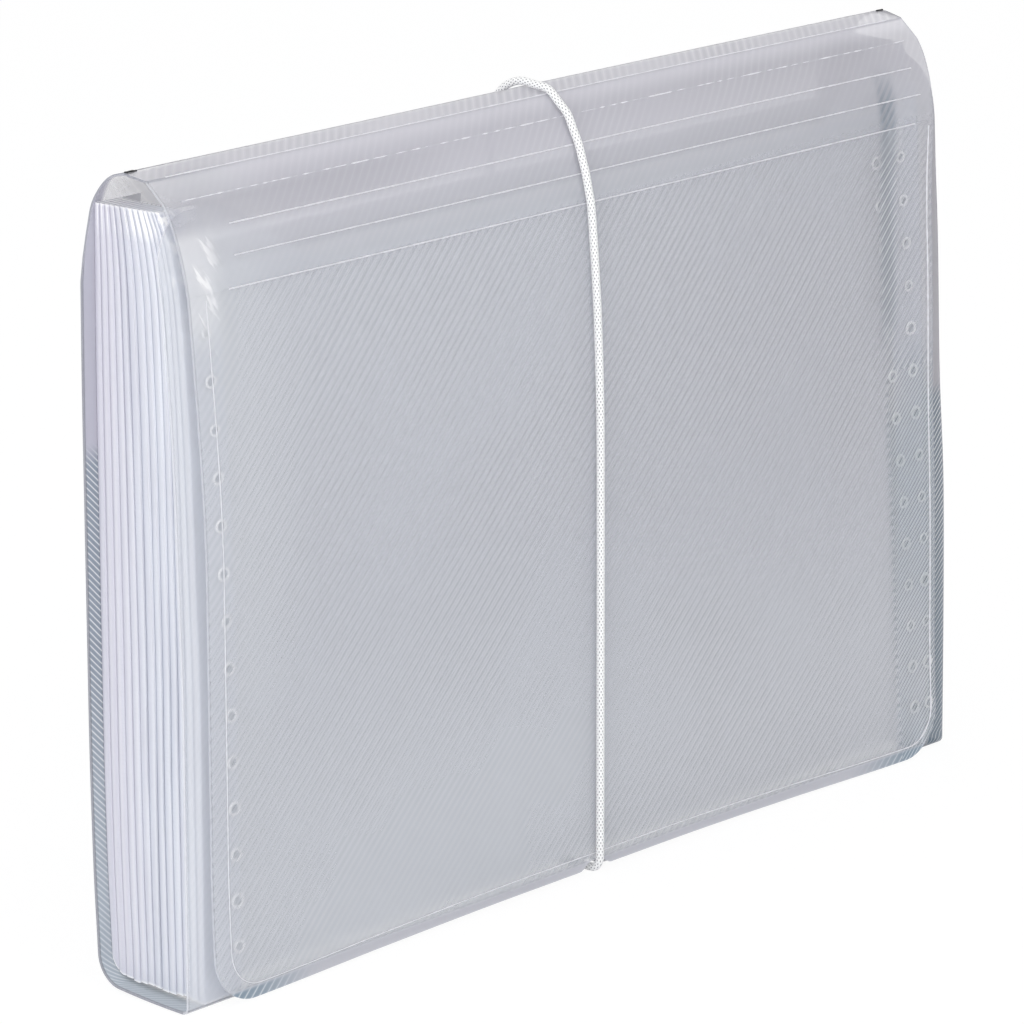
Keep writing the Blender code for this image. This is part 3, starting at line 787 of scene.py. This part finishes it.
front = {"evenTop": cover["height"] * cover["frontTop"] - cover["cutoutDeep"] - cover["cutoutClear"],
         "channelTop": 12 * mm, "channelShare": 0.76}


def frontTopEdge(x):
    into = (cover["cutoutHalf"] - abs(x)) / cover["cutoutSlope"]
    dip = (1 - cos(pi * min(1, max(0, into)))) / 2
    top = cover["height"] * cover["frontTop"] - cover["cutoutDeep"] * dip
    return top - cornerDrop(x, cover["halfWidth"], cover["frontCorner"])


def placeFront(x, row):
    kind, z = row
    pressed, fold = cover["channelDeep"] * channel(x), cover["foldRadius"]
    if kind == "fold":
        y = frontY + fold * (1 - sin(z))
        return (x, y, fold * (1 - cos(z)) + pressed * (1 - 0.15 * z)), (x, -fold * z)
    if kind == "upper":
        z = front["evenTop"] + (frontTopEdge(x) - front["evenTop"]) * z
    else:
        z += pressed * front["channelShare"] * (1 - ease(fold, front["channelTop"], z))
    return (x, frontFace(z), z), (x, -z)


def addFrontPanel():
    rows = [("fold", turn) for turn in spaced(0, quarter, 6)]
    rows += [("even", z * mm) for z in (4, 6, 8.5, 12)]
    rows += [("even", z) for z in spaced(20 * mm, front["evenTop"], 26)]
    rows += [("upper", share) for share in spaced(0, 1, 10)[1:]]
    half = cover["halfWidth"]
    columns = acrossCover(half, spaced(0.1, cover["cutoutHalf"], 12) + cornerColumns(half, cover["frontCorner"], 10))
    obj = makeSheet("frontPanel", columns, rows, placeFront, cover["sheet"], -1, ["front", "frontEdge"])
    carry(obj, "front", "cover_sheet", "front_panel")


def flapBottom(x):
    middle = flap["bottomMiddle"]
    low = middle + (flap["bottomCorner"] - middle) * ease(0.03, 0.14, abs(x))
    return low + cornerDrop(x, flap["halfWidth"], flap["cornerRadius"]) + (flap["notchHigh"] - middle) * channel(x)


def placeArch(x, row):
    n, share = row
    y, z = bowed(x, n, share)
    return (x, y + skew(x, z), z), (x, shellRidge + flap["stripWidth"] * (n + share))


def addArch():
    rows = [(n, share) for n in range(1, 5) for share in (0.0, 0.06, 0.28, 0.5, 0.72, 0.94)] + [(4, 1.0)]
    obj = makeSheet("flapArch", acrossCover(flap["halfWidth"]), rows, placeArch, cover["sheet"], 1, ["arch", "cutEdge"])
    carry(obj, None, "cover_sheet", "flap_strip_2", "flap_strip_3", "flap_strip_4", "flap_strip_5")
    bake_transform(obj)
    first = shellRidge + flap["stripWidth"]  # a share over its first few millimetres is worked out here but not used
    np.array([ease(0, flap["bendLength"], v - first) for _, v in flatSpots(obj.data)])


def placeFlap(x, row):
    kind, z = row
    if kind == "edge":
        z = flapBottom(x) + (flap["edgeTop"] - flapBottom(x)) * z
    bulge = flap["edgeBulge"] * ease(0.09, 0.15, abs(x)) * (1 - ease(0, 40 * mm, z))
    return (x, flapFace(z) - bulge + skew(x, z), z), (x, shellRidge + flap["stripWidth"] * 5 + scores[-1][1] - z)


def addFlapPanel():
    y, z = scores[-1]
    rows = [("edge", share) for share in (0, 0.03, 0.08, 0.15, 0.25, 0.37, 0.5, 0.65, 0.82, 1.0)]
    rows += [("even", high) for high in spaced(flap["edgeTop"], 90 * mm, 7)[1:] + spaced(90 * mm, z, 26)[1:]]
    half = flap["halfWidth"]
    columns = acrossCover(half, cornerColumns(half, flap["cornerRadius"], 12))
    obj = makeSheet("flapPanel", columns, rows, placeFlap, cover["sheet"], -1, ["flap", "cutEdge"])
    carry(obj, None, "cover_sheet", "flap_panel")
    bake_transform(obj)


addFrontPanel()
addArch()
addFlapPanel()
print("cover made")


# Pressed lines and weld rings, by Geometry Nodes

def newTree(name, **inputs):  # the names of its inputs, by their kind
    tree = bpy.data.node_groups.new(name, "GeometryNodeTree")
    for kind, names in {"Geometry": "Geometry", **inputs}.items():
        for key in names.split():
            tree.interface.new_socket(key, in_out="INPUT", socket_type="NodeSocket" + kind)
    tree.interface.new_socket("Geometry", in_out="OUTPUT", socket_type="NodeSocketGeometry")
    net = Wiring(tree, "GeometryNode")
    return tree, net, net.add("NodeGroupInput").outputs


def endTree(net, geometry, finish=None):
    smooth = net.add("SetShadeSmooth", n0=net.add("RealizeInstances", n0=geometry))
    if finish:
        smooth = net.add("SetMaterial", n0=smooth, Material=finish)
    net.add("NodeGroupOutput", n0=smooth)


def pressedTree():  # a raised bead along a line, a little uneven
    tree, net, given = newTree("pressedLine", Float="Radius Spacing Uneven", Int="Seed", Material="Finish")
    add = net.add
    curve = add("MeshToCurve", n0=given["Geometry"])
    even = add("ResampleCurve", mode="LENGTH", n0=curve, Length=given["Spacing"])
    least = net.sum("SUBTRACT", 1.0, given["Uneven"])
    random = add("FunctionNodeRandomValue", data_type="FLOAT", n2=least, n3=1.0, Seed=given["Seed"])
    scale = net.times(random.outputs[1], add("InputNamedAttribute", data_type="FLOAT", Name="size"))
    ring = add("CurvePrimitiveCircle", Resolution=8, Radius=given["Radius"])
    endTree(net, add("CurveToMesh", n0=even, n1=ring, n2=scale, n3=True), given["Finish"])
    return tree


def weldTree():  # a ring at each point
    tree, net, given = newTree("weldRing", Float="Radius Bead", Int="Seed", Material="Finish Centre")
    add = net.add
    centre = add("CurvePrimitiveCircle", Resolution=18, Radius=given["Radius"])
    bead = add("CurvePrimitiveCircle", Resolution=6, Radius=given["Bead"])
    rim = add("SetMaterial", n0=add("CurveToMesh", n0=centre, n1=bead), Material=given["Finish"])
    disc = add("MeshCylinder", Vertices=18, Radius=given["Radius"], Depth=0.16 * mm)
    both = add("JoinGeometry", n0=rim)
    tree.links.new(add("SetMaterial", n0=disc, Material=given["Centre"]).outputs[0], both.inputs[0])
    turned = add("Transform", n0=both, n2=(quarter, 0, 0), n3=(1.05, 1.0, 0.9))
    random = add("FunctionNodeRandomValue", data_type="FLOAT", n2=0.82, n3=1.08, Seed=given["Seed"])
    endTree(net, add("InstanceOnPoints", n0=given["Geometry"], n2=turned, n6=random.outputs[1]))
    return tree


def traced(name, body, runs, tree, sizeAt=None, **values):  # runs: lists of points, each joined into a line
    points, edges = [], []
    for run in runs:
        edges += [(len(points) + n, len(points) + n + 1) for n in range(len(run) - 1)]
        points += run
    obj = newMesh(name, points, edges, [])
    mark(obj.data, "size", [sizeAt(x) if sizeAt else 1.0 for x, _, _ in points])
    grown = obj.modifiers.new("grown", "NODES")
    grown.node_group = tree
    for item in tree.interface.items_tree:
        if item.in_out == "INPUT" and item.name in values:
            grown[item.identifier] = values[item.name]
    carry(settle(obj, 60), body, "cover_sheet")


pressedLine = pressedTree()


def addLine(name, body, run, radius, seed, finish="pressed", spacing=1.7 * mm, uneven=0.5, sizeAt=None):
    traced(name, body, [run], pressedLine, sizeAt, Radius=radius, Spacing=spacing, Uneven=uneven, Seed=seed,
           Finish=finishes[finish])


pressed = {  # for each score line: its ends in mm, radius and how far it is sunk into the fold
    "lines": ((-150.6, 150.6, 0.27 * mm * 0.9, 0.05 * mm), (-150.4, 151.3, 0.27 * mm * 1.15, 0.24 * mm),
              (-137.5, 150.0, 0.27 * mm, 0), (-138.4, 152.0, 0.27 * mm * 0.9, 0), (-142.6, 148.3, 0.27 * mm * 0.9, 0)),
    "uneven": 0.4,
}


def addScoreLines():
    for n, (left, right, radius, sink) in enumerate(pressed["lines"], 1):
        turn = radians(flap["stripAngles"][min(n, 4)])
        y, z = scores[n][0] + sink * sin(turn), scores[n][1] - sink * cos(turn)
        run = [(x, y + skew(x, z), z) for x in spaced(left * mm, right * mm, 60)]
        addLine(f"scoreLine{n}", "cover" if n == 1 else "flap_top", run, radius, n, uneven=pressed["uneven"])


border = inMetres(left=6.2, right=2.5, low=6.0, lowEnd=4.3, corner=11, radius=0.26, spacing=1.4)
border["top"] = 0.992


def borderSize(x):  # faint at the left, plain along the bottom, bold at the right
    return 0.55 + 0.25 * ease(-0.14, -0.1, x) + 0.4 * ease(0.13, 0.15, x)


def addBorder():
    left, right = flap["halfWidth"] - border["left"], flap["halfWidth"] - border["right"]
    corner, top, low = border["corner"], scores[-1][1] * border["top"], border["lowEnd"]
    bend = [(1 - cos(t), 1 - sin(t)) for t in spaced(0, quarter, 10)[1:]]
    rise = border["low"] - low
    run = [(-left, z) for z in spaced(top, low + corner, 50)]
    run += [(corner * out - left, low + corner * up) for out, up in bend]
    run += [(x, low + rise * (1 - ease(0.03, left - corner, abs(x))))
            for x in spaced(corner - left, right - corner, 80)[1:]]
    run += [(right - corner * out, low + corner * up) for up, out in bend]
    run += [(right, z) for z in spaced(low + corner, top, 50)[1:]]
    addLine("flapBorder", "flap", [placeFlap(x, ("even", z))[0] for x, z in run], border["radius"], 11,
            spacing=border["spacing"], uneven=0.45, sizeAt=borderSize)


def addRidgeShade():  # the fold behind the ridge shows as a thin dark line
    turn, sink = radians(68), 0.1 * mm
    row = ("curl", turn, shellRidge - cover["curlRadius"] * (quarter - turn))
    spots = [placeShell(x, row)[0] for x in spaced(-cover["halfWidth"], cover["halfWidth"], 80)]
    run = [(x, y - sink * cos(turn), z - sink * sin(turn)) for x, y, z in spots]
    addLine("ridgeShade", "cover", run, 0.14 * mm, 21, "shade")


def addNickShades():  # small dark dashes of painted shadow in the cuts where the ridge's fold meets the sides
    y, z = scores[0]
    for name, side, inset, reach in (("leftNickShade", -1, cover["taperInset"], 4.2 * mm),
                                     ("rightNickShade", 1, fullness["rightInset"], 2.6 * mm)):
        end = cover["halfWidth"] - inset
        shift = skew(side * end, z) * ease(-backY, y - backY, -y)
        run = [(side * (end - reach * t), y + shift + 0.6 * mm, z - 0.1 * mm) for t in (0, 0.25, 0.5, 0.75, 1)]
        addLine(name, "cover", run, 0.55 * mm, 3, "nickShade", 0.6 * mm)


rings = inMetres(radius=1.7, bead=0.45, pitch=13.4, low=15, high=196)
rings["columns"] = {  # side, x at the lowest ring and at the highest, height of the first ring, all in mm
    "front": ((-1, 145, 150, 15), (1, 151, 135.5, 15), (1, 158, 147.5, 15)),
    "cover": ((-1, 147.5, 147, 20), (1, 147.5, 147, 20)),
}


def addWelds():
    tree = weldTree()
    spread = rings["high"] - rings["low"]
    for body, face in (("front", frontFace), ("cover", backFace)):
        runs = []
        for side, low, high, start in rings["columns"][body]:
            count = int((rings["high"] - start * mm) / rings["pitch"])
            heights = [start * mm + rings["pitch"] * n for n in range(count + 1)]
            runs.append([(side * (low + (high - low) * (z - rings["low"]) / spread) * mm, face(z), z) for z in heights])
        traced(f"{body}Welds", body, runs, tree, Radius=rings["radius"], Bead=rings["bead"], Seed=5,
               Finish=finishes["weld"], Centre=finishes["weldCentre"])


addScoreLines()
addBorder()
addRidgeShade()
addNickShades()
addWelds()
print("pressed lines and weld rings made")


# Side gussets and pocket walls

tips = inMetres(clear=0.5, bottom=1.3, hem=0.8, rearOut=2.5, line=0.05, whiteTop=5.5, film=0.17)
tips.update(  # low and top: how far behind the front panel each fold shows, rear one first, in mm
    low=(34.6, 32.2, 29.4, 25.6, 23.0, 19.8, 16.8, 14.6, 12.2, 9.4, 6.4, 4.3, 1.9),
    top=(34.2, 32.9, 31.1, 28.9, 27.0, 24.9, 22.9, 21.1, 19.2, 17.8, 16.4, 15.4, 14.0),
    roundFrom=0.97,
    closed=0.8,
    stops=(0, 0.35, 0.7, 0.92, 0.97, 0.9803, 0.9893, 0.9962, 0.9993),
)


def bodyAt(wall):  # what carries the wall ahead of this pocket
    return {0: "cover", pocket["count"]: "front"}.get(wall, f"pocket_{wall:02d}")


def pleatColumns(number, inner, apex):  # (kind, x, how far across from the rear wall to the fore wall)
    rear = [("rear", inner + (apex - inner) * t, 0.5 * t) for t in tips["stops"]]
    columns = rear + [("tip", apex, 0.5)] + [("fore", x, 1 - t) for _, x, t in reversed(rear)]
    flange = pocket["halfWidth"] - gusset["flange"] - inner
    if number == 1:
        columns = [("rear", inner + flange * t, 0.0) for t in (1, 0.6, 0.2)] + columns
    if number == pocket["count"]:
        columns += [("fore", inner + flange * t, 1.0) for t in (0.2, 0.6, 1.0)]
    return columns


def cornerInside(y):  # height of the cover's inner face under a point
    past = y - (backY - cover["cornerRadius"])
    inner = cover["cornerRadius"] - cover["sheet"]
    if past <= 0:
        return cover["sheet"]
    return cover["cornerRadius"] - sqrt(max(0, inner**2 - min(past, inner) ** 2))


def addPleat(number, side):
    last, top = pocket["count"], gusset["top"]
    rearShare, foreShare = 1 - (number - 1) / last, 1 - number / last
    rearGap, foreGap = (gusset["gap"] / (1 if number == end else 2) for end in (1, last))
    rng = np.random.default_rng(40 + number + (100 if side > 0 else 0))
    drop = rng.uniform(0, 0.9) * mm
    inner = pocket["halfWidth"] + gusset["gap"]
    apex = gusset["halfWidth"] + tips["rearOut"] * (1 - (number - 1) / (last - 1))  # the rear folds reach further out

    def baseAt(y):
        return max(tips["bottom"] + drop, cornerInside(y) + tips["clear"])

    def walls(z, out=0.0):  # neighbouring folds nearly touch further out
        shut = 1 - tips["closed"] * ease(0.2, 0.7, out)
        return bundle(rearShare, z) - rearGap * shut, bundle(foreShare, z) + foreGap * shut

    def tipShare(z, seen):
        rear, fore = walls(z)
        return (frontY + seen * mm - rear) / (fore - rear)

    lowShare = tipShare(cover["cornerRadius"], tips["low"][number - 1])
    topShare = tipShare(top, tips["top"][number - 1])

    def place(column, row):
        kind, x, across = column
        out = max(0.0, (x - inner) / (apex - inner))
        bend = max(0.0, (out - tips["roundFrom"]) / (1 - tips["roundFrom"]))

        def spot(z):
            rear, fore = walls(z, out)
            tip = rear + (fore - rear) * (lowShare + (topShare - lowShare) * z / top)
            wall = rear if kind == "rear" else fore
            keep = tips["film"] / max(abs(fore - rear), 0.5 * mm)
            return tip if kind == "tip" else wall + (tip - wall) * (1 - sqrt(1 - bend**2)) * (1 - keep)

        where, z = row
        if where == "low":
            base = baseAt(spot(cover["cornerRadius"]))
            z = base + tips["hem"] if z < 0 else base + (20 * mm - base) * z
        return (side * x, spot(z), z), (x + across * mm, z)

    rows = [("low", t) for t in (0.0, -1.0, 0.25, 0.5, 0.75, 1.0)]
    heights = spaced(20 * mm, 180 * mm, 14)[1:] + spaced(180 * mm, top - tips["hem"], 10)[1:]
    rows += [("even", z) for z in heights + [top]]
    sideName = "left" if side < 0 else "right"
    obj = makeSheet(f"{sideName}Pleat{number:02d}", pleatColumns(number, inner, apex)[::-side], rows, place,
                    gusset["film"], -1, ["frontFilm" if number == last else "film", "filmEdge"], 60)
    spots = np.array([v.co for v in obj.data.vertices])
    # painted highlight: a thin white line along each fold's outer tip
    fold = 0.3 * np.clip((np.abs(spots[:, 0]) - (apex - tips["line"])) / tips["line"], 0, 1)
    for n, (x, y, z) in enumerate(spots):  # white at the hem; painted highlights at the tips' tops and along the top; painted light up the flanges, which lie in shade under the arch
        hem = z < baseAt(y) + 0.5 * tips["hem"]
        tipTop = z > top - tips["whiteTop"] and abs(x) > apex - 0.08 * tips["line"]
        least = 1.0 if hem or tipTop else 0.8 if abs(x) < pocket["halfWidth"] and z > 190 * mm else 0.0
        fold[n] = max(fold[n], least, 0.7 if z > top - 0.3 * mm else 0.0)
    mark(obj.data, "fold", fold.astype(np.float32))
    carry(obj, None, "gusset_sheet", f"gusset_pleat_{sideName}_{number:02d}")
    behind, ahead, middleZ = bodyAt(number - 1), bodyAt(number), 0.1
    bundle(rearShare, middleZ)
    bundle(foreShare, middleZ)
    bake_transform(obj)
    np.clip((flatSpots(obj.data)[:, 0] - np.abs(spots[:, 0])) / mm, 0, 1)  # its own share across


def addDivider(number):
    half, corner = pocket["halfWidth"], pocket["corner"]
    columns = mirrored(spaced(0, half - corner, 12) + cornerColumns(half, corner, 6))
    rows = [(z, False) for z in spaced(pocket["bottom"], pocket["top"] - corner - mm, 26)] + [(pocket["top"], True)]

    def place(x, row):
        z = row[0] - (cornerDrop(x, half, corner) if row[1] else 0)
        return (x, bundle(1 - number / pocket["count"], z), z), (x, z)

    obj = makeSheet(f"pocketWall{number:02d}", columns, rows, place, pocket["wall"], 0, ["pocket", "pocketEdge"])
    carry(obj, f"pocket_{number:02d}", "pocket_sheet", f"divider_{number:02d}")


for number in range(1, pocket["count"] + 1):
    for side in (-1, 1):
        addPleat(number, side)
for number in range(1, pocket["count"]):
    addDivider(number)
print("gussets and pockets made")

# The whole file is a little out of true: its lower rear corners lift and its front leans back at the right

slump = inMetres(liftHigh=60, pull=0.6, pullFrom=2, pullTo=34, startsAt=40)
slump.update(lift={-1: 2 * mm, 1: 1 * mm},
             lean=((0, -1.2), (40, -0.8), (80, 0), (120, 1.6), (180, 1.8), (205, 0.7), (220, 0)))


def slumped(x, y, z):
    end = ease(slump["startsAt"], cover["halfWidth"], abs(x))
    rear = min(1.05, max(0.0, (y - frontY) / cover["depth"]))
    lift = slump["lift"][1 if x > 0 else -1] * (1 - ease(0, slump["liftHigh"], z))
    pull = slump["pull"] * (1 - ease(slump["pullFrom"], slump["pullTo"], z))
    lean = curveThrough(slump["lean"], z / mm) * mm * (1 - min(1.0, rear)) if x > 0 else 0.0
    return x, y + end * (lean - pull * rear), z + end * lift * rear**2


for obj in pieces:
    if obj not in (elastic, crimp):
        for vertex in obj.data.vertices:
            vertex.co = slumped(*vertex.co)
        obj.data.update()
print("file settled:", len(pieces))
